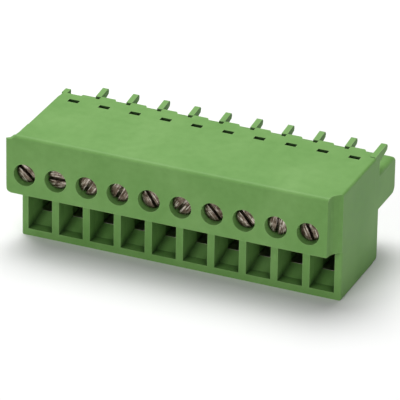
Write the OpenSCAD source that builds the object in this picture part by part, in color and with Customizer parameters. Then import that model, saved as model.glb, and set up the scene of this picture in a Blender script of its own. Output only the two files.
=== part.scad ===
// Pluggable terminal block: a moulded housing with one clamp per pole.
// Frame: X runs along the row, +Y is the plugging direction, Z is up.
// The origin is at the middle of the bounding box, on the underside.

/* [Row] */
// Distance from one pole to the next
pitch = 3.81; // [3.81:0.01:5.08]
// Sideways step of the screw row against the wire entries
head_shift = 1.05; // [0.7:0.05:1.2]
// From an end pole's centre to the end of the body
end_reach = 2.3; // [2.2:0.05:2.6]

/* [Body] */
// Height of the body over its underside
body_h = 13.2; // [13.0:0.1:14.5]
// From the screw face to the back of the body
body_d = 13.05; // [12.8:0.05:14]
// Underside of the overhanging screw face
lip_z = 6; // [5.9:0.05:6.3]
// How far the wire face stands back from the screw face
foot_set = 1.95; // [1.5:0.05:2.3]
// Rounding of the upper front edge
brow_r = 0.5; // [0.2:0.05:0.8]
// Rounding of the lower corners of the screw face
jaw_r = 0.7; // [0.3:0.05:1]
// Rounding of the body's outer edges
edge_r = 0.3; // [0.15:0.05:0.45]
// Rounding of the body's lower edges
foot_r = 0.18; // [0.1:0.02:0.4]
// Depth of the slimmer rear band
band_d = 1.3; // [1:0.05:1.8]
// Step of the rear band from the side
band_in = 0.07; // [0.04:0.01:0.2]
// How far the upper rear edge stands in from the rear face
edge_in = 0.45; // [0.3:0.05:0.8]
// Reach of a rear pad past the rear face
pad_out = 0.3; // [0.1:0.05:0.5]
// Drop of the screw face's left shoulder
shoulder = 0.5; // [0.3:0.05:0.8]

/* [Plug nose] */
// Length of the nose behind the body
nose_d = 5.05; // [4.6:0.05:6]
// Underside of the nose
nose_z = 6.25; // [6:0.05:6.4]
// Height of the nose
nose_h = 4.55; // [4.4:0.05:4.8]
// Rounding of the nose's upper edges at both ends of the row
nose_r = 0.7; // [0.4:0.05:1]
// Rounding of the nose's rear edges
nose_end_r = 0.75; // [0.3:0.05:0.9]
// Width of one pin window in the nose
window_w = 1.3; // [1.1:0.05:1.5]
// Height of one pin window in the nose
window_h = 1.5; // [1.2:0.05:1.6]

/* [Coding ribs] */
// Width of one coding rib
rib_w = 0.66; // [0.5:0.02:0.9]
// Reach of a rib behind the body
rib_d = 2.35; // [1.8:0.05:3]
// Height of a rib's tip over the body
rib_rise = 0.25; // [0.05:0.05:0.5]
// Thickness of a rib at its tip
rib_t = 0.8; // [0.6:0.05:1]
// Place of a rib to the side of its pole
rib_x = 2.1; // [1.85:0.05:2.2]

/* [Wire entry] */
// Width of a wire entry at its mouth
mouth_w = 2.95; // [2.7:0.05:3.1]
// Lower edge of a wire entry
mouth_z = 0.85; // [0.7:0.05:1]
// Upper edge of a wire entry
mouth_top = 5.75; // [5.2:0.05:5.85]
// Straight part of a wire entry
mouth_d = 1.4; // [0.8:0.1:1.6]
// Tapered part of a wire entry
taper_d = 1.6; // [1.2:0.1:1.8]
// Width of the throat behind the taper
throat_w = 2.2; // [1.8:0.05:2.3]

/* [Screw] */
// Height of the screw axis over the underside
screw_z = 8.5; // [8.4:0.05:8.7]
// Diameter of a screw head
head_d = 2.5; // [2.4:0.02:2.56]
// Free space around a screw head in its hole
head_gap = 0.09; // [0.05:0.01:0.1]
// How far a head lies below the face
head_set = 0.75; // [0.4:0.05:1]
// Thickness of a screw head
head_t = 1.45; // [1.2:0.05:1.6]
// Width of the driver slot
slot_w = 0.42; // [0.3:0.02:0.6]
// Depth of the driver slot
slot_t = 0.6; // [0.4:0.05:0.8]
// Outside diameter of the thread
thread_d = 2; // [1.8:0.05:2.1]
// Free space around a turning or sliding piece
play = 0.05; // [0.03:0.01:0.08]

/* [Clamp] */
// Length of the wedge nut along the screw
wedge_d = 3; // [2.6:0.1:3.2]
// Travel of the wedge nut along the screw
wedge_run = 2; // [1.4:0.1:2]
// Width of the wedge nut
wedge_w = 2.5; // [2.4:0.05:2.6]
// Drop of the pressure jaw for one of wedge travel
ramp_k = 0.8; // [0.6:0.05:0.9]
// Width of the pressure jaw
jaw_w = 2.4; // [2.2:0.05:2.5]
// Underside of the open pressure jaw
jaw_z = 4.45; // [4.3:0.05:4.6]

/* [Contact] */
// Thickness of the current bar
bar_t = 0.6; // [0.4:0.05:0.7]
// Upper face of the current bar
bar_z = 1.9; // [1.7:0.05:2]
// Thickness of the socket sheet
sheet_t = 0.25; // [0.2:0.01:0.3]
// Outside width of the pin socket
socket_w = 1.7; // [1.5:0.05:1.8]
// Outside height of the pin socket
socket_h = 1.9; // [1.7:0.05:2]
// Width of the test opening over a contact
probe_w = 1.3; // [1:0.05:1.5]
// Depth of the test opening over a contact
probe_d = 0.7; // [0.5:0.05:0.8]

/* [Hidden] */
poles = 10;
round_fn = 64;
fine = 0.02;
eps = 0.01;
body_w = pitch * (poles - 1) + 2 * end_reach;
total_d = body_d + nose_d;
x_lo = -body_w / 2 - head_shift;
x_hi = body_w / 2;
slot_angles = [-40, 2, 58, 62, -58, 52, -48, -50, 78, -66];

hole_d = head_d + 2 * head_gap;
cheek_w = max(0.1, head_shift + wedge_w / 2 + play - end_reach + 0.45);

// Planes of the clamp space, from front to back
throat_y = foot_set + mouth_d + taper_d;
room_y = throat_y;
seat_y = head_set + head_t + fine;
riser_t = 0.5;
riser_y1 = body_d - 1.65;
riser_y0 = riser_y1 - riser_t;
wedge_y1 = riser_y0 - 0.15;
wedge_y0 = wedge_y1 - wedge_d;
shank_y1 = wedge_y1 - 0.02;

// Heights of the clamp space
bore_r = thread_d / 2 + play;
deck_z = screw_z - thread_d / 2 - 0.25;
roof_z = screw_z + thread_d / 2 + 0.3;
floor_z = bar_z - bar_t;
room_w = jaw_w + 2 * play;
jaw_top = deck_z - play - ramp_k * 0.1;
ramp_z0 = deck_z;
socket_z = nose_z + nose_h / 2;
riser_top = roof_z + 0.1;
throat_top = jaw_z - play;

// Puts the working frame (body middle, screw face) onto the part frame
module placed() {
  translate([head_shift / 2, -total_d / 2, 0]) children();
}

// Sideways place of a pole, counted from 1
function pole_x(i) = (i - (poles + 1) / 2) * pitch;

// Box from two corners
module span(a, b) {
  translate(a) cube([b[0] - a[0], b[1] - a[1], b[2] - a[2]]);
}

// Points of a quarter turn from angle a0, around a centre
function quarter(c, r, a0, n = 6) = [
  for (k = [0 : n]) [c[0] + r * cos(a0 + 90 * k / n), c[1] + r * sin(a0 + 90 * k / n)]
];

// Tapered space from one rectangle (front) to another (back)
module taper(w0, za0, zb0, y0, w1, za1, zb1, y1) {
  w = max(w0, w1);
  intersection() {
    translate([0, 0, min(za0, za1) - 1])
      linear_extrude(height = max(zb0, zb1) - min(za0, za1) + 2)
        polygon([[-w0 / 2, y0], [w0 / 2, y0], [w1 / 2, y1], [-w1 / 2, y1]]);
    along_x(-w, w)
      polygon([[y0, za0], [y1, za1], [y1, zb1], [y0, zb0]]);
  }
}

// Lies a Y-Z drawing along X between two places
module along_x(x0, x1) {
  translate([x0, 0, 0])
    rotate([90, 0, 90])
      linear_extrude(height = x1 - x0) children();
}

// Outline of the body seen from the front, its four corners rounded
module front_outline(x, r_top, r_low) {
  polygon(concat(
    quarter([x - r_top, body_h - r_top], r_top, 0, 4),
    quarter([-x + r_top, body_h - r_top], r_top, 90, 4),
    quarter([-x + r_low, r_low], r_low, 180, 3),
    quarter([x - r_low, r_low], r_low, 270, 3)
  ));
}

// Stands a drawing seen from the front up between two depths
module along_y(y0, y1) {
  translate([0, y1, 0])
    rotate([90, 0, 0])
      linear_extrude(height = y1 - y0) children();
}

// Main block with the recessed wire face and the slimmer rear band
module body_block() {
  intersection() {
    linear_extrude(height = body_h)
      polygon(concat(
        [[x_hi, body_d - band_d], [-x_hi, body_d - band_d]],
        quarter([-x_hi + edge_r, foot_set + edge_r], edge_r, 180, 3),
        quarter([x_hi - edge_r, foot_set + edge_r], edge_r, 270, 3)
      ));
    along_y(foot_set - 1, body_d)
      front_outline(x_hi, edge_r, foot_r);
  }
  intersection() {
    along_x(-x_hi, x_hi)
      polygon([
        [body_d - band_d - eps, 0],
        [body_d - 0.4, 0],
        [body_d - 0.12, 0.12],
        [body_d, 0.4],
        [body_d, body_h - 0.75],
        [body_d - edge_in, body_h - 0.75],
        [body_d - edge_in, body_h],
        [body_d - band_d - eps, body_h]
      ]);
    along_y(foot_set, body_d + 1)
      front_outline(x_hi - band_in, edge_r, foot_r);
  }
}

// Cheek on the left side that closes the first pole's clamp space
module left_cheek() {
  difference() {
    span([-x_hi - cheek_w, foot_set, lip_z], [-x_hi + 1, riser_y1, roof_z + 0.7]);
    translate([-x_hi - cheek_w, 0, roof_z + 0.7])
      rotate([0, 45, 0])
        span([-0.4, foot_set - 1, -0.4], [0.4, body_d, 0.4]);
  }
}

// Screw face: stepped to the left, drawn back to the body at both ends
module head_block() {
  intersection() {
    translate([0, 0, lip_z])
      linear_extrude(height = body_h - lip_z)
        polygon(concat(
          [[x_lo + 0.12, 0]],
          quarter([x_hi - head_shift - edge_r / 2, edge_r / 2], edge_r / 2, 270, 3),
          [[x_hi - head_shift + 0.08, 0.8], [x_hi - head_shift * 0.78, 1.15]],
          [[x_hi - head_shift * 0.36, foot_set - 0.3], [x_hi, foot_set]],
          [[x_hi, foot_set + 1.5], [-x_hi, foot_set + 1.5], [-x_hi, foot_set - 0.2]],
          [[x_lo + 0.5, 1.1], [x_lo + 0.42, 0.42], [x_lo, 0.12]]
        ));
    along_x(x_lo - 1, x_hi + 1)
      polygon(concat(
        [[0, 0], [foot_set + 1.5, 0], [foot_set + 1.5, body_h]],
        quarter([brow_r, body_h - brow_r], brow_r, 90)
      ));
    along_y(-1, foot_set + 2)
      polygon(concat(
        [[x_hi, lip_z]],
        quarter([x_hi - edge_r, body_h - edge_r], edge_r, 0, 4),
        [[-x_hi + 0.1, body_h], [-x_hi - 0.12, body_h - shoulder * 0.5]],
        [[-x_hi - 0.4, body_h - shoulder + 0.03], [x_lo, body_h - shoulder]],
        quarter([x_lo + jaw_r, lip_z + jaw_r], jaw_r, 180)
      ));
  }
}

// Nose that goes into the header
module nose() {
  along_x(-body_w / 2 + band_in, body_w / 2 - band_in)
    polygon(concat(
      [[body_d - 1, nose_z], [total_d - nose_end_r, nose_z]],
      quarter([total_d - nose_end_r, nose_z + nose_end_r], nose_end_r, 270, 4),
      quarter([total_d - nose_end_r, nose_z + nose_h - nose_end_r], nose_end_r, 0, 4),
      [[body_d - 1, nose_z + nose_h]]
    ));
}

// Rounds off the long upper edges of the nose at both ends of the row
module nose_edges() {
  for (s = [-1, 1])
    scale([s, 1, 1])
      difference() {
        span(
          [x_hi - band_in - nose_r, body_d + eps, nose_z + nose_h - nose_r],
          [x_hi + 1, total_d + 1, nose_z + nose_h + 1]
        );
        translate([x_hi - band_in - nose_r, body_d - 1, nose_z + nose_h - nose_r])
          rotate([-90, 0, 0])
            cylinder(h = nose_d + 4, r = nose_r, $fn = round_fn);
      }
}

// One coding rib: its root in the body, its rounded tip over the nose
module rib(x, top) {
  y1 = body_d + rib_d;
  z1 = body_h + rib_rise;
  along_x(x - rib_w / 2, x + rib_w / 2)
    polygon(concat(
      [[body_d - 0.9, body_h - 1.1], [body_d + 0.3, body_h - 1]],
      [[y1 - 0.4, z1 - rib_t], [y1 - 0.12, z1 - rib_t + 0.1], [y1, z1 - rib_t / 2]],
      [[y1 - 0.03, z1 - 0.24], [y1 - 0.14, z1 - 0.07], [y1 - 0.32, z1]],
      top
    ));
}

// Ribs, rear pads and the small ear at the left end
module coding() {
  notch = [
    [body_d + 0.12, body_h + 0.02],
    [body_d + 0.02, body_h - 0.45],
    [body_d - 0.9, body_h - 0.45]
  ];
  saddle = [
    [body_d - 1.3, body_h + 0.1],
    [body_d - 1.42, body_h - 0.2],
    [body_d - 0.9, body_h - 0.6]
  ];
  for (i = [1 : poles - 1]) {
    rib(pole_x(i) + rib_x, notch);
    translate([0, 0, body_h - 0.8])
      linear_extrude(height = 0.8)
        polygon([
          [pole_x(i) + rib_x + rib_w / 2 - eps, body_d - edge_in - eps],
          [pole_x(i) + rib_x + rib_w / 2 - eps, body_d + pad_out],
          [pole_x(i + 1) + 0.35, body_d + pad_out],
          [pole_x(i + 1) + 0.75, body_d - edge_in + 0.1],
          [pole_x(i + 1) + 0.75, body_d - edge_in - eps]
        ]);
  }
  rib(x_hi - band_in - rib_w / 2, saddle);
  span(
    [-x_hi + band_in, body_d - edge_in - eps, body_h - 0.8],
    [-x_hi + band_in + rib_w, body_d + 0.65, body_h]
  );
}

// Space of one pole, taken out of the housing
module pole_space() {
  // Wire entry
  span([-mouth_w / 2, -1, mouth_z], [mouth_w / 2, foot_set + mouth_d, mouth_top]);
  taper(
    mouth_w, mouth_z, mouth_top, foot_set + mouth_d - eps,
    throat_w, bar_z, throat_top, throat_y + eps
  );
  // Room of the pressure jaw, down to the current bar
  span([-room_w / 2, room_y, floor_z], [room_w / 2, riser_y1, deck_z]);
  // Room of the wedge nut
  span(
    [-head_shift - wedge_w / 2 - play, room_y, deck_z - eps],
    [-head_shift + wedge_w / 2 + play, riser_y0, roof_z]
  );
  // Pocket of the contact's upright
  span([-room_w / 2 + 0.1, riser_y0 - eps, deck_z - eps], [room_w / 2 - 0.1, riser_y1, riser_top]);
  // Screw hole and the bore behind it
  translate([-head_shift, -1, screw_z])
    rotate([-90, 0, 0])
      cylinder(h = seat_y + 1, d = hole_d, $fn = round_fn);
  translate([-head_shift, 0, screw_z])
    rotate([-90, 0, 0])
      cylinder(h = room_y + eps, r = bore_r, $fn = round_fn);
  // Test opening in the top
  span(
    [-probe_w / 2, riser_y1 - 0.1 - probe_d, riser_top - eps],
    [probe_w / 2, riser_y1 - 0.1, body_h + 1]
  );
  // Socket chamber and pin window in the nose
  span(
    [-socket_w / 2 - play, riser_y1 - eps, socket_z - socket_h / 2 - play],
    [socket_w / 2 + play, total_d - 0.6, socket_z + socket_h / 2 + play]
  );
  span(
    [-window_w / 2, total_d - 1, socket_z - window_h / 2],
    [window_w / 2, total_d + 1, socket_z + window_h / 2]
  );
  taper(
    window_w, socket_z - window_h / 2, socket_z + window_h / 2, total_d - 0.35,
    window_w + 0.8, socket_z - window_h / 2 - 0.4, socket_z + window_h / 2 + 0.4, total_d + 0.05
  );
}

module housing() {
  color("green")
    placed()
      difference() {
        union() {
          body_block();
          head_block();
          left_cheek();
          nose();
          coding();
        }
        nose_edges();
        for (i = [1 : poles])
          translate([pole_x(i), 0, 0]) pole_space();
      }
}

// Slotted screw of one pole, at its own slot angle
module clamp_screw(i) {
  color("gray")
    placed()
      translate([pole_x(i) - head_shift, 0, screw_z])
        rotate([0, -slot_angles[i - 1], 0])
          difference() {
            union() {
              translate([0, head_set, 0])
                rotate([-90, 0, 0])
                  cylinder(h = 0.12, d1 = head_d - 0.24, d2 = head_d, $fn = round_fn);
              translate([0, head_set + 0.12 - eps, 0])
                rotate([-90, 0, 0])
                  cylinder(h = head_t - 0.12 + eps, d = head_d, $fn = round_fn);
              translate([0, head_set + head_t - eps, 0])
                rotate([-90, 0, 0])
                  cylinder(h = shank_y1 - head_set - head_t - 0.2, d = thread_d, $fn = round_fn);
              translate([0, shank_y1 - 0.22, 0])
                rotate([-90, 0, 0])
                  cylinder(h = 0.22, d1 = thread_d, d2 = thread_d - 0.4, $fn = round_fn);
            }
            span([-head_d, head_set - 1, -slot_w / 2], [head_d, head_set + slot_t, slot_w / 2]);
          }
}

// Wedge nut that the screw draws forward
module wedge_nut(i) {
  color("silver")
    placed()
      translate([pole_x(i) - head_shift, 0, 0])
        difference() {
          union() {
            span([-wedge_w / 2, wedge_y0, deck_z + play], [wedge_w / 2, wedge_y1, roof_z - play]);
            along_x(head_shift - jaw_w / 2 + play, wedge_w / 2)
              polygon([
                [wedge_y0, deck_z + play + eps],
                [wedge_y0, deck_z],
                [wedge_y1, deck_z - ramp_k * wedge_d],
                [wedge_y1, deck_z + play + eps]
              ]);
          }
          translate([0, wedge_y0 - 1, screw_z])
            rotate([-90, 0, 0])
              cylinder(h = wedge_d + 2, r = bore_r, $fn = round_fn);
        }
}

// Pressure jaw that the wedge nut pushes down on the wire
module pressure_jaw(i) {
  jaw_y0 = room_y + play;
  jaw_y1 = riser_y0 - play;
  ramp_y = wedge_y0 + 0.1;
  color("silver")
    placed()
      translate([pole_x(i), 0, 0])
        along_x(-jaw_w / 2, jaw_w / 2)
          polygon([
            [jaw_y0, jaw_z],
            [jaw_y1, jaw_z],
            [jaw_y1, deck_z - fine - ramp_k * (jaw_y1 - wedge_y0)],
            [ramp_y, deck_z - fine - ramp_k * 0.1],
            [jaw_y0, deck_z - fine - ramp_k * 0.1]
          ]);
}

// Current bar, upright and pin socket, bent from one strip
module contact(i) {
  bar_w = room_w - 2 * fine;
  sz0 = socket_z - socket_h / 2;
  sz1 = socket_z + socket_h / 2;
  color("silver")
    placed()
      translate([pole_x(i), 0, 0])
        difference() {
          union() {
            span([-bar_w / 2, room_y + play, floor_z], [bar_w / 2, riser_y1, bar_z]);
            span([-room_w / 2 + 0.15, riser_y0, floor_z], [room_w / 2 - 0.15, riser_y1, riser_top - play]);
            span([-socket_w / 2, riser_y1 - eps, sz0], [socket_w / 2, total_d - 0.65, sz1]);
          }
          span(
            [-socket_w / 2 + sheet_t, riser_y1 + 0.6, sz0 + sheet_t],
            [socket_w / 2 - sheet_t, total_d, sz1 - sheet_t]
          );
          for (s = [-1, 1])
            span(
              [s > 0 ? socket_w / 2 - sheet_t - eps : -socket_w, riser_y1 + 1.4, socket_z - 0.14],
              [s > 0 ? socket_w : -socket_w / 2 + sheet_t + eps, total_d, socket_z + 0.14]
            );
        }
}

housing();
clamp_screw(1);  // clamp_screw_1
clamp_screw(2);  // clamp_screw_2
clamp_screw(3);  // clamp_screw_3
clamp_screw(4);  // clamp_screw_4
clamp_screw(5);  // clamp_screw_5
clamp_screw(6);  // clamp_screw_6
clamp_screw(7);  // clamp_screw_7
clamp_screw(8);  // clamp_screw_8
clamp_screw(9);  // clamp_screw_9
clamp_screw(10);  // clamp_screw_10
wedge_nut(1);  // wedge_nut_1
wedge_nut(2);  // wedge_nut_2
wedge_nut(3);  // wedge_nut_3
wedge_nut(4);  // wedge_nut_4
wedge_nut(5);  // wedge_nut_5
wedge_nut(6);  // wedge_nut_6
wedge_nut(7);  // wedge_nut_7
wedge_nut(8);  // wedge_nut_8
wedge_nut(9);  // wedge_nut_9
wedge_nut(10);  // wedge_nut_10
pressure_jaw(1);  // pressure_jaw_1
pressure_jaw(2);  // pressure_jaw_2
pressure_jaw(3);  // pressure_jaw_3
pressure_jaw(4);  // pressure_jaw_4
pressure_jaw(5);  // pressure_jaw_5
pressure_jaw(6);  // pressure_jaw_6
pressure_jaw(7);  // pressure_jaw_7
pressure_jaw(8);  // pressure_jaw_8
pressure_jaw(9);  // pressure_jaw_9
pressure_jaw(10);  // pressure_jaw_10
contact(1);  // contact_1
contact(2);  // contact_2
contact(3);  // contact_3
contact(4);  // contact_4
contact(5);  // contact_5
contact(6);  // contact_6
contact(7);  // contact_7
contact(8);  // contact_8
contact(9);  // contact_9
contact(10);  // contact_10
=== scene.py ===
"""Looks of the pluggable terminal block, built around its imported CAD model."""
import math

import bmesh
import bpy
from mathutils import Matrix, Vector


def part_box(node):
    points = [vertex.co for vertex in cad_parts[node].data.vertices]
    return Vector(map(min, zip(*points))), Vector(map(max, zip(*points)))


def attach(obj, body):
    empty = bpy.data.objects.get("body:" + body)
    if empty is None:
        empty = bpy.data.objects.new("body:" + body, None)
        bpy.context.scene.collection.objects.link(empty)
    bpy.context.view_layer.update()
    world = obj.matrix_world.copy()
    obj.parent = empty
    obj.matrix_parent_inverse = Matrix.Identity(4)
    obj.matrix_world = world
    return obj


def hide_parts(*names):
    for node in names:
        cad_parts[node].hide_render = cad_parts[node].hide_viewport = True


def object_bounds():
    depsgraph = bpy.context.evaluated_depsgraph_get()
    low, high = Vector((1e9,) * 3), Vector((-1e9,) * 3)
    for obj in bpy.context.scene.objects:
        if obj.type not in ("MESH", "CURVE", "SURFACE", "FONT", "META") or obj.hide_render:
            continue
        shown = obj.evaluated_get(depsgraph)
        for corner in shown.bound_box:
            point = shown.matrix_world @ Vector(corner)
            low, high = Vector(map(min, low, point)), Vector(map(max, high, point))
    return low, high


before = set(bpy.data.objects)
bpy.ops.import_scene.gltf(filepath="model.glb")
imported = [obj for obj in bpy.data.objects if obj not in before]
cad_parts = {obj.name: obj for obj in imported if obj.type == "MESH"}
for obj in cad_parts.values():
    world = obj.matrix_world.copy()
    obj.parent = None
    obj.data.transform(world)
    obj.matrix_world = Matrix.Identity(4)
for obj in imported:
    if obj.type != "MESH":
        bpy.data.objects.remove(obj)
CAD_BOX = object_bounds()
MM = 0.001
POLES = 10

# ---------------------------------------------------------------- camera
# The photograph's view: lengths in metres, angles in degrees, lens and sensor in mm.
TARGET = Vector((0.20, -0.60, 5.34)) * MM
DISTANCE = 520.1 * MM
AZIMUTH = 22.778
ELEVATION = 26.743
ROLL = 0.958
LENS = 415.6
SENSOR_WIDTH = 36.0
CLIP_START = 0.01
CLIP_END = 10.0


def add_camera():
    a, e, r = (math.radians(v) for v in (AZIMUTH, ELEVATION, ROLL))
    back = Vector((math.sin(a) * math.cos(e), -math.cos(a) * math.cos(e), math.sin(e)))
    level = Vector((math.cos(a), math.sin(a), 0.0))
    upright = back.cross(level)
    right = level * math.cos(r) + upright * math.sin(r)
    up = back.cross(right)
    data = bpy.data.cameras.new("photo_camera")
    data.sensor_width = SENSOR_WIDTH
    data.lens = LENS
    data.clip_start = CLIP_START
    data.clip_end = CLIP_END
    cam = bpy.data.objects.new("photo_camera", data)
    bpy.context.scene.collection.objects.link(cam)
    turn = Matrix((right, up, back)).transposed().to_4x4()
    cam.matrix_world = Matrix.Translation(TARGET + back * DISTANCE) @ turn
    bpy.context.scene.camera = cam


# ---------------------------------------------------------------- node helpers
# How far the rounded normal bends (1 minus its cosine) where an edge starts to show,
# over what further bend it grows to full, and how softly it gets there.
EDGE_BEND_START = 0.02
EDGE_BEND_SPAN = 0.25
EDGE_SOFTNESS = 0.1
EDGE_SAMPLES = 6


class Shade:
    """A material's node tree with short calls for the nodes that repeat."""

    def __init__(self, name):
        self.mat = bpy.data.materials.new(name)
        self.mat.use_nodes = True
        self.tree = self.mat.node_tree
        self.tree.nodes.clear()
        self.out = self.node("ShaderNodeOutputMaterial")

    def node(self, kind, **values):
        n = self.tree.nodes.new(kind)
        for key, value in values.items():
            setattr(n, key, value)
        return n

    def link(self, source, target):
        self.tree.links.new(source, target)

    def put(self, socket, value):
        if isinstance(value, bpy.types.NodeSocket):
            self.link(value, socket)
        else:
            socket.default_value = value

    def coords(self, scale=(1.0, 1.0, 1.0), shift=None):
        place = self.node("ShaderNodeMapping")
        self.link(self.node("ShaderNodeTexCoord").outputs["Object"], place.inputs["Vector"])
        place.inputs["Scale"].default_value = scale
        if shift is not None:
            self.put(place.inputs["Location"], shift)
        return place.outputs["Vector"]

    def noise(self, vector, scale, detail=3.0, rough=0.55, distortion=0.0):
        n = self.node("ShaderNodeTexNoise")
        self.link(vector, n.inputs["Vector"])
        n.inputs["Scale"].default_value = scale
        n.inputs["Detail"].default_value = detail
        n.inputs["Roughness"].default_value = rough
        n.inputs["Distortion"].default_value = distortion
        return n.outputs["Fac"]

    def ramp(self, fac, stops):
        n = self.node("ShaderNodeValToRGB")
        self.link(fac, n.inputs["Fac"])
        points = n.color_ramp.elements
        while len(points) < len(stops):
            points.new(0.5)
        for point, (place, colour) in zip(points, stops):
            point.position = place
            if isinstance(colour, (int, float)):
                colour = (colour, colour, colour)
            point.color = (*colour, 1.0)
        return n.outputs["Color"]

    def mix(self, fac, a, b, blend="MIX"):
        n = self.node("ShaderNodeMix", data_type="RGBA", blend_type=blend)
        self.put(n.inputs["Factor"], fac)
        sockets = [s for s in n.inputs if s.type == "RGBA"]
        self.put(sockets[0], a if isinstance(a, bpy.types.NodeSocket) else (*a, 1.0))
        self.put(sockets[1], b if isinstance(b, bpy.types.NodeSocket) else (*b, 1.0))
        return [s for s in n.outputs if s.type == "RGBA"][0]

    def math(self, operation, a, b=0.0, c=0.0, clamp=False):
        n = self.node("ShaderNodeMath", operation=operation, use_clamp=clamp)
        self.put(n.inputs[0], a)
        self.put(n.inputs[1], b)
        self.put(n.inputs[2], c)
        return n.outputs[0]

    def bump(self, height, strength, distance, normal=None):
        n = self.node("ShaderNodeBump")
        self.put(n.inputs["Height"], height)
        n.inputs["Strength"].default_value = strength
        n.inputs["Distance"].default_value = distance
        if normal is not None:
            self.link(normal, n.inputs["Normal"])
        return n.outputs["Normal"]

    def edges(self, radius):
        """1 close to an edge, inner or outer, and 0 on flat faces."""
        round_off = self.node("ShaderNodeBevel", samples=EDGE_SAMPLES)
        round_off.inputs["Radius"].default_value = radius
        flat = self.node("ShaderNodeNewGeometry").outputs["Normal"]
        dot = self.node("ShaderNodeVectorMath", operation="DOT_PRODUCT")
        self.link(round_off.outputs["Normal"], dot.inputs[0])
        self.link(flat, dot.inputs[1])
        bent = self.math("SUBTRACT", 1.0, dot.outputs["Value"])
        beyond = self.math("SUBTRACT", bent, EDGE_BEND_START)
        share = self.math("DIVIDE", beyond, EDGE_BEND_SPAN)
        return self.math("SMOOTH_MIN", share, 1.0, EDGE_SOFTNESS, clamp=True)

    def surface(self, colour, roughness, normal=None, metallic=0.0, gloss=0.5):
        n = self.node("ShaderNodeBsdfPrincipled")
        self.put(n.inputs["Base Color"], colour)
        self.put(n.inputs["Roughness"], roughness)
        n.inputs["Metallic"].default_value = metallic
        n.inputs["Specular IOR Level"].default_value = gloss
        if normal is not None:
            self.link(normal, n.inputs["Normal"])
        self.link(n.outputs["BSDF"], self.out.inputs["Surface"])


# ---------------------------------------------------------------- materials
GREEN_MAIN = (0.155, 0.320, 0.086)
GREEN_DEEP = (0.135, 0.296, 0.073)
GREEN_PALE = (0.180, 0.350, 0.104)
# Lighter green painted along edges as a highlight.
GREEN_EDGE_HIGHLIGHT = (0.245, 0.430, 0.150)
# Near-black green painted as shade into recesses, and how far the occlusion probe for it reaches.
GREEN_PAINTED_SHADE = (0.013, 0.042, 0.010)
GREEN_SPECK = (0.075, 0.14, 0.045)
PAINTED_SHADE_REACH = 1.7 * MM
STEEL_SCRATCH = (0.72, 0.66, 0.57)
STEEL_RIM = (0.62, 0.56, 0.49)
STEEL_DIRT = (0.050, 0.034, 0.022)
CLAMP_RIM = (0.60, 0.54, 0.48)
COPPER_RIM = (0.74, 0.60, 0.46)
# Shifts the pattern by each screw's place, so that no two screws look the same.
SCREW_PATTERN_SHIFT = 37.0


def green_plastic():
    s = Shade("moulded_green")
    at = s.coords()
    flow = s.noise(at, 130.0, 2.0, 0.5)
    cloud = s.noise(at, 900.0, 4.0, 0.6)
    tone = s.ramp(flow, [(0.30, GREEN_DEEP), (0.52, GREEN_MAIN), (0.75, GREEN_PALE)])
    mottle = s.ramp(cloud, [
        (0.25, (0.90, 0.93, 0.88)),
        (0.55, (1.0, 1.0, 1.0)),
        (0.80, (1.07, 1.05, 1.08)),
    ])
    colour = s.mix(1.0, tone, mottle, "MULTIPLY")
    # Painted highlight: edges, inner and outer, turn a lighter green, broken up by noise, standing in
    # for light caught by rounded edges.
    painted_highlight = s.math("MULTIPLY", s.edges(0.18 * MM), s.math("ADD", 0.40, s.noise(at, 1600.0, 3.0)))
    colour = s.mix(painted_highlight, colour, GREEN_EDGE_HIGHLIGHT)
    specks = s.noise(at, 2600.0, 2.0, 0.6)
    dust = s.ramp(specks, [(0.74, 0.0), (0.80, 0.35)])
    colour = s.mix(dust, colour, GREEN_SPECK)
    # Painted shade: ambient occlusion darkens the green towards near-black inside holes, funnels and
    # other recesses, where shade falls.
    shade_probe = s.node("ShaderNodeAmbientOcclusion", samples=8, only_local=True)
    shade_probe.inputs["Distance"].default_value = PAINTED_SHADE_REACH
    painted_shade = s.ramp(shade_probe.outputs["AO"], [(0.36, 0.97), (0.88, 0.0)])
    colour = s.mix(painted_shade, colour, GREEN_PAINTED_SHADE)
    grain = s.noise(at, 14000.0, 3.0, 0.6)
    waves = s.noise(at, 420.0, 2.0, 0.5)
    normal = s.bump(grain, 0.22, 0.006 * MM)
    normal = s.bump(waves, 0.25, 0.02 * MM, normal)
    rough = s.ramp(cloud, [(0.2, 0.47), (0.8, 0.60)])
    s.surface(colour, rough, normal, gloss=0.22)
    return s.mat


def screw_steel():
    s = Shade("worn_screw_steel")
    place = s.node("ShaderNodeObjectInfo").outputs["Location"]
    far = s.node("ShaderNodeVectorMath", operation="SCALE")
    s.link(place, far.inputs[0])
    far.inputs["Scale"].default_value = SCREW_PATTERN_SHIFT
    at = s.coords(shift=far.outputs["Vector"])
    streak = s.coords((0.16, 1.0, 1.0), shift=far.outputs["Vector"])
    patches = s.noise(at, 1500.0, 4.0, 0.65, 0.6)
    lines = s.noise(streak, 7000.0, 3.0, 0.6)
    colour = s.ramp(patches, [
        (0.30, (0.040, 0.026, 0.017)),
        (0.44, (0.110, 0.078, 0.054)),
        (0.58, (0.215, 0.168, 0.128)),
        (0.74, (0.420, 0.370, 0.315)),
    ])
    bright = s.ramp(lines, [(0.53, 0.0), (0.64, 0.85)])
    colour = s.mix(bright, colour, STEEL_SCRATCH)
    rim = s.edges(0.10 * MM)
    colour = s.mix(s.math("MULTIPLY", rim, 0.45), colour, STEEL_RIM)
    dirt = s.ramp(s.noise(at, 3800.0, 3.0, 0.7), [(0.52, 0.0), (0.66, 0.8)])
    colour = s.mix(dirt, colour, STEEL_DIRT)
    normal = s.bump(lines, 0.45, 0.02 * MM)
    normal = s.bump(patches, 0.5, 0.04 * MM, normal)
    rough = s.ramp(patches, [(0.3, 0.52), (0.75, 0.30)])
    s.surface(colour, rough, normal, metallic=1.0)
    return s.mat


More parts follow.
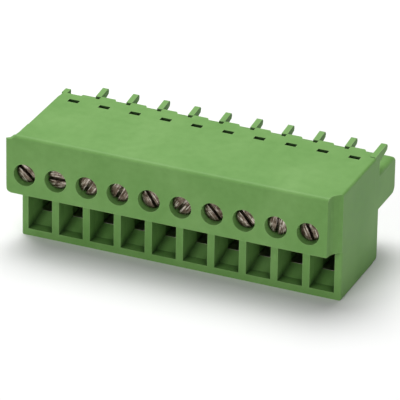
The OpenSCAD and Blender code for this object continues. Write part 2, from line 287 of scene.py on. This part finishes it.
def clamp_steel():
    s = Shade("dull_clamp_steel")
    at = s.coords()
    brushed = s.noise(s.coords((0.10, 1.0, 1.0)), 5200.0, 3.0, 0.6)
    patches = s.noise(at, 800.0, 4.0, 0.6)
    colour = s.ramp(patches, [
        (0.30, (0.17, 0.105, 0.080)),
        (0.55, (0.30, 0.220, 0.180)),
        (0.75, (0.44, 0.36, 0.31)),
    ])
    colour = s.mix(s.math("MULTIPLY", s.edges(0.08 * MM), 0.5), colour, CLAMP_RIM)
    normal = s.bump(brushed, 0.3, 0.01 * MM)
    s.surface(colour, s.ramp(brushed, [(0.3, 0.36), (0.7, 0.52)]), normal, metallic=1.0)
    return s.mat


def tinned_copper():
    s = Shade("tinned_contact")
    at = s.coords()
    patches = s.noise(at, 1100.0, 4.0, 0.6)
    rolled = s.noise(s.coords((1.0, 0.08, 1.0)), 6400.0, 3.0, 0.6)
    colour = s.ramp(patches, [
        (0.28, (0.42, 0.37, 0.31)),
        (0.5, (0.56, 0.52, 0.46)),
        (0.75, (0.68, 0.66, 0.62)),
    ])
    colour = s.mix(s.math("MULTIPLY", s.edges(0.06 * MM), 0.4), colour, COPPER_RIM)
    normal = s.bump(rolled, 0.25, 0.008 * MM)
    s.surface(colour, s.ramp(rolled, [(0.3, 0.28), (0.7, 0.42)]), normal, metallic=1.0)
    return s.mat


# ---------------------------------------------------------------- meshes
def obj_from(bm, name, material, smooth_angle=35.0):
    mesh = bpy.data.meshes.new(name)
    bmesh.ops.recalc_face_normals(bm, faces=bm.faces)
    bm.to_mesh(mesh)
    bm.free()
    mesh.materials.append(material)
    mesh.shade_smooth()
    mesh.set_sharp_from_angle(angle=math.radians(smooth_angle))
    piece = bpy.data.objects.new(name, mesh)
    bpy.context.scene.collection.objects.link(piece)
    return piece


def lathe(bm, profile, steps):
    """Turns a profile of (y, radius) points around the Y axis; the ends close on the axis."""
    rings = []
    for y, r in profile:
        ring = []
        for k in range(steps):
            t = 2 * math.pi * k / steps
            ring.append(bm.verts.new((r * math.cos(t), y, r * math.sin(t))))
        rings.append(ring)
    for low, high in zip(rings, rings[1:]):
        for k in range(steps):
            n = (k + 1) % steps
            bm.faces.new((low[k], low[n], high[n], high[k]))
    bm.faces.new(rings[0][::-1])
    bm.faces.new(rings[-1])


def box_mesh(bm, lo, hi):
    for v in bmesh.ops.create_cube(bm, size=1.0)["verts"]:
        for i in range(3):
            v.co[i] = lo[i] if v.co[i] < 0 else hi[i]


# The thread ridge: its half widths at root and crest are shares of the lead, and its
# root is sunk into the core. It grows from the least lift over the run-out's turns.
RIDGE_ROOT_HALF = 0.42
RIDGE_CREST_HALF = 0.08
RIDGE_SINK = 0.95
RIDGE_LEAST_LIFT = 0.02
RIDGE_RUN_OUT = 0.5


def helix_ridge(bm, core, outer, y0, y1, lead, steps=24):
    """A closed thread ridge that runs out at both ends."""
    count = int((y1 - y0) / lead * steps)
    rows = []
    for k in range(count + 1):
        t = 2 * math.pi * k / steps
        y = y0 + lead * k / steps
        lift = min(1.0, k / (steps * RIDGE_RUN_OUT), (count - k) / (steps * RIDGE_RUN_OUT))
        r = core + (outer - core) * max(RIDGE_LEAST_LIFT, lift)
        half = lead * RIDGE_ROOT_HALF
        crest = lead * RIDGE_CREST_HALF
        row = []
        root = core * RIDGE_SINK
        for rr, dy in ((root, -half), (r, -crest), (r, crest), (root, half)):
            row.append(bm.verts.new((rr * math.cos(t), y + dy, rr * math.sin(t))))
        rows.append(row)
    for a, b in zip(rows, rows[1:]):
        for j in range(4):
            m = (j + 1) % 4
            bm.faces.new((a[j], a[m], b[m], b[j]))
    bm.faces.new(rows[0][::-1])
    bm.faces.new(rows[-1])


# ---------------------------------------------------------------- screws
HEAD_DIAMETER = 2.5 * MM
HEAD_HEIGHT = 1.45 * MM
SLOT_WIDTH = 0.42 * MM
SLOT_DEPTH = 0.6 * MM
THREAD_DIAMETER = 2.0 * MM
THREAD_LEAD = 0.4 * MM
THREAD_CORE = 0.385
LIP_ROUNDING = 0.035 * MM
LIP_ANGLE = 40
LIP_SEGMENTS = 2
HEAD_STEPS = 72
SHANK_STEPS = 48
# How each screw's slot stands in the photograph, in degrees, from the left.
SLOT_ANGLES = (-40, 2, 58, 62, -58, 52, -48, -50, 78, -66)


def screw_head_mesh():
    """Cheese head with a driver slot, its rim and slot lips slightly rounded."""
    bm = bmesh.new()
    r = HEAD_DIAMETER / 2
    lathe(bm, [
        (0.035 * MM, r * 0.20), (0.0, r * 0.45), (0.0, r * 0.80),
        (0.025 * MM, r * 0.90), (0.09 * MM, r * 0.97), (0.20 * MM, r * 0.995),
        (0.5 * MM, r), (HEAD_HEIGHT - 0.08 * MM, r), (HEAD_HEIGHT, r - 0.07 * MM),
    ], HEAD_STEPS)
    head = bpy.data.meshes.new("head")
    bm.to_mesh(head)
    bm.free()
    bm = bmesh.new()
    box_mesh(bm, (-r * 2, -r, -SLOT_WIDTH / 2), (r * 2, SLOT_DEPTH, SLOT_WIDTH / 2))
    cutter = bpy.data.meshes.new("cutter")
    bm.to_mesh(cutter)
    bm.free()
    body = bpy.data.objects.new("head_tmp", head)
    tool = bpy.data.objects.new("cutter_tmp", cutter)
    for o in (body, tool):
        bpy.context.scene.collection.objects.link(o)
    cut = body.modifiers.new("slot", "BOOLEAN")
    cut.operation = "DIFFERENCE"
    cut.solver = "EXACT"
    cut.object = tool
    edge = body.modifiers.new("edge", "BEVEL")
    edge.width = LIP_ROUNDING
    edge.segments = LIP_SEGMENTS
    edge.limit_method = "ANGLE"
    edge.angle_limit = math.radians(LIP_ANGLE)
    edge.use_clamp_overlap = True
    seen = body.evaluated_get(bpy.context.evaluated_depsgraph_get())
    made = bpy.data.meshes.new_from_object(seen)
    for o in (body, tool):
        bpy.data.objects.remove(o)
    return made


def add_screw(i, material):
    """A threaded, slotted screw in the place of the plain CAD one."""
    name = f"clamp_screw_{i}"
    lo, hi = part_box(name)
    axis_x = (lo.x + hi.x) / 2
    axis_z = (lo.z + hi.z) / 2
    length = hi.y - lo.y
    bm = bmesh.new()
    bm.from_mesh(screw_head_mesh())
    core = THREAD_DIAMETER * THREAD_CORE
    lathe(bm, [
        (HEAD_HEIGHT - 0.05 * MM, core), (length - 0.22 * MM, core), (length, core - 0.2 * MM),
    ], SHANK_STEPS)
    helix_ridge(bm, core, THREAD_DIAMETER / 2, HEAD_HEIGHT + 0.25 * MM, length - 0.2 * MM, THREAD_LEAD)
    piece = obj_from(bm, f"slotted_screw_{i}", material)
    turn = Matrix.Rotation(math.radians(-SLOT_ANGLES[i - 1]), 4, "Y")
    piece.matrix_world = Matrix.Translation((axis_x, lo.y, axis_z)) @ turn
    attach(piece, f"screw_{i}")
    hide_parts(name)


# ---------------------------------------------------------------- CAD nodes
WELD_GAP = 1e-6
FLAT_ANGLE = 0.6
ROUNDED_ANGLE = 28.0
ROUNDED_SEGMENTS = 2


def dress(node, material, width):
    """Gives a CAD node its material and rounds its edges slightly."""
    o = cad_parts[node]
    o.data.materials.clear()
    o.data.materials.append(material)
    weld = o.modifiers.new("weld", "WELD")
    weld.merge_threshold = WELD_GAP
    flat = o.modifiers.new("flat", "DECIMATE")
    flat.decimate_type = "DISSOLVE"
    flat.angle_limit = math.radians(FLAT_ANGLE)
    edge = o.modifiers.new("edge", "BEVEL")
    edge.width = width
    edge.segments = ROUNDED_SEGMENTS
    edge.limit_method = "ANGLE"
    edge.angle_limit = math.radians(ROUNDED_ANGLE)
    edge.use_clamp_overlap = True
    edge.harden_normals = True


# ---------------------------------------------------------------- stage and light
WORLD_STRENGTH = 0.176
FLOOR_GLOW = 0.03
FLOOR_WHITE = 0.80
FLOOR_HALF_WIDTH = 1.5
LAMP_AIM = (0.0, 0.0, 0.005)
# Each lamp's name, place and size in metres, and power in watts.
LAMPS = (
    ("key_above", (-0.10, 0.13, 0.42), (0.34, 0.30), 2.47),
    ("fill_front", (-0.16, -0.55, 0.22), (0.40, 0.30), 1.18),
    ("fill_right", (0.42, -0.30, 0.22), (0.30, 0.30), 0.55),
)


def add_floor():
    s = Shade("floor_white")
    diffuse = s.node("ShaderNodeBsdfDiffuse")
    diffuse.inputs["Color"].default_value = (FLOOR_WHITE, FLOOR_WHITE, FLOOR_WHITE, 1.0)
    glow = s.node("ShaderNodeEmission")
    glow.inputs["Strength"].default_value = FLOOR_GLOW
    path = s.node("ShaderNodeLightPath")
    seen = s.math("MAXIMUM", path.outputs["Is Camera Ray"], path.outputs["Is Glossy Ray"])
    seen = s.math("MAXIMUM", seen, path.outputs["Is Transmission Ray"])
    both = s.node("ShaderNodeAddShader")
    s.link(diffuse.outputs[0], both.inputs[0])
    s.link(glow.outputs[0], both.inputs[1])
    pick = s.node("ShaderNodeMixShader")
    s.link(seen, pick.inputs[0])
    s.link(diffuse.outputs[0], pick.inputs[1])
    s.link(both.outputs[0], pick.inputs[2])
    s.link(pick.outputs[0], s.out.inputs["Surface"])
    bm = bmesh.new()
    bmesh.ops.create_grid(bm, x_segments=1, y_segments=1, size=FLOOR_HALF_WIDTH)
    for v in bm.verts:
        v.co.z = CAD_BOX[0][2]
    floor = obj_from(bm, "floor", s.mat)


def add_world():
    world = bpy.data.worlds.new("studio")
    bpy.context.scene.world = world
    world.use_nodes = True
    tree = world.node_tree
    tree.nodes.clear()
    out = tree.nodes.new("ShaderNodeOutputWorld")
    path = tree.nodes.new("ShaderNodeLightPath")
    most = tree.nodes.new("ShaderNodeMath")
    most.operation = "MAXIMUM"
    tree.links.new(path.outputs["Is Camera Ray"], most.inputs[0])
    tree.links.new(path.outputs["Is Transmission Ray"], most.inputs[1])
    soft = tree.nodes.new("ShaderNodeBackground")
    soft.inputs["Strength"].default_value = WORLD_STRENGTH
    white = tree.nodes.new("ShaderNodeBackground")
    white.inputs["Strength"].default_value = 1.0
    pick = tree.nodes.new("ShaderNodeMixShader")
    tree.links.new(most.outputs[0], pick.inputs[0])
    tree.links.new(soft.outputs[0], pick.inputs[1])
    tree.links.new(white.outputs[0], pick.inputs[2])
    tree.links.new(pick.outputs[0], out.inputs["Surface"])


def add_lamp(name, place, size, energy):
    data = bpy.data.lights.new(name, "AREA")
    data.shape = "RECTANGLE"
    data.size, data.size_y = size
    data.energy = energy
    lamp = bpy.data.objects.new(name, data)
    bpy.context.scene.collection.objects.link(lamp)
    lamp.location = place
    lamp.rotation_euler = (Vector(LAMP_AIM) - Vector(place)).to_track_quat("-Z", "Y").to_euler()


# ---------------------------------------------------------------- scene
add_camera()
add_world()
add_floor()
for lamp_name, lamp_place, lamp_size, lamp_energy in LAMPS:
    add_lamp(lamp_name, lamp_place, lamp_size, lamp_energy)
bpy.context.scene.view_settings.view_transform = "Standard"

plastic = green_plastic()
steel = screw_steel()
clamp = clamp_steel()
tin = tinned_copper()

dress("housing", plastic, 0.07 * MM)
for pole in range(1, POLES + 1):
    add_screw(pole, steel)
    dress(f"wedge_nut_{pole}", clamp, 0.08 * MM)
    dress(f"pressure_jaw_{pole}", clamp, 0.10 * MM)
    dress(f"contact_{pole}", tin, 0.03 * MM)
